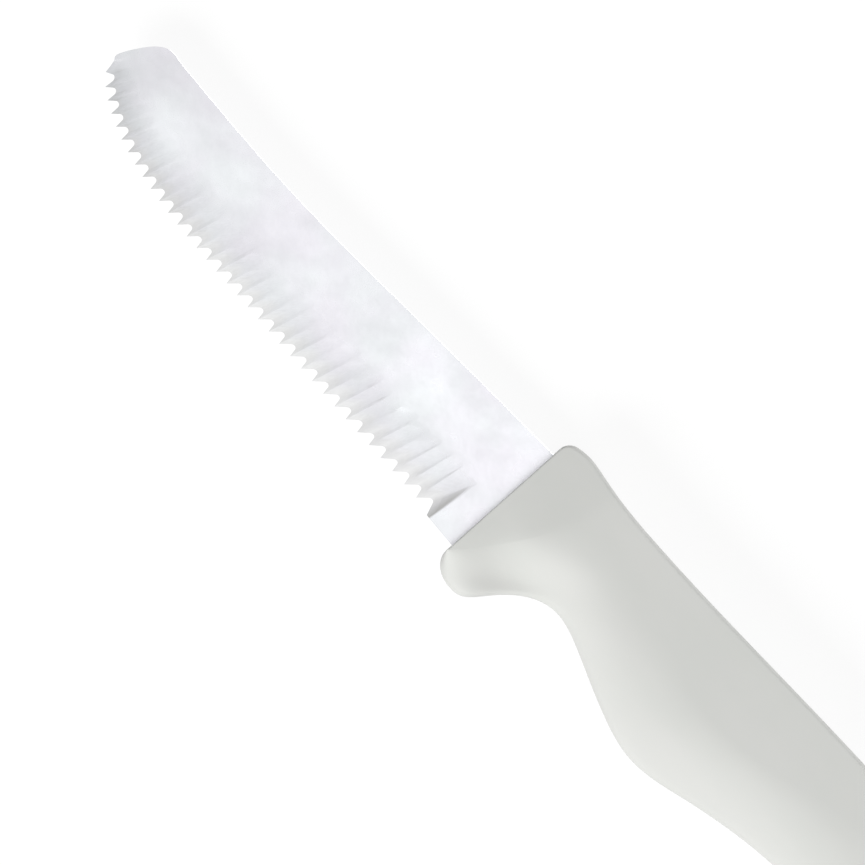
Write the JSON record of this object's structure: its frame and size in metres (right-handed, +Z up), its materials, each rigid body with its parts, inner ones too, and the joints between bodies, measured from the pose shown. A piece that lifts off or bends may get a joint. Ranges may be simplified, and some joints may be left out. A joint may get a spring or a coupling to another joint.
{
  "type": "breakfast knife",
  "caption": "small round-nosed table knife: thin serrated stainless blade keyed by its tang into a moulded plastic handle with a finger guard",
  "frame": {"origin": "centre of the box under the knife as it lies on its side, on the surface it lies on", "axes": "+X from the blade's tip to the handle's butt, +Y from the cutting edge to the spine, +Z up, out of the ground side of the blade"},
  "size_m": [0.2296, 0.0356, 0.0155],
  "materials": {
    "blade_steel": "fine satin rolled sheet, edge and flutes ground from one side",
    "handle_plastic": "satin moulded polypropylene, off-white"
  },
  "bodies": {
    "root": {"blade": "blade_steel", "handle": "handle_plastic"}
  },
  "joints": []
}
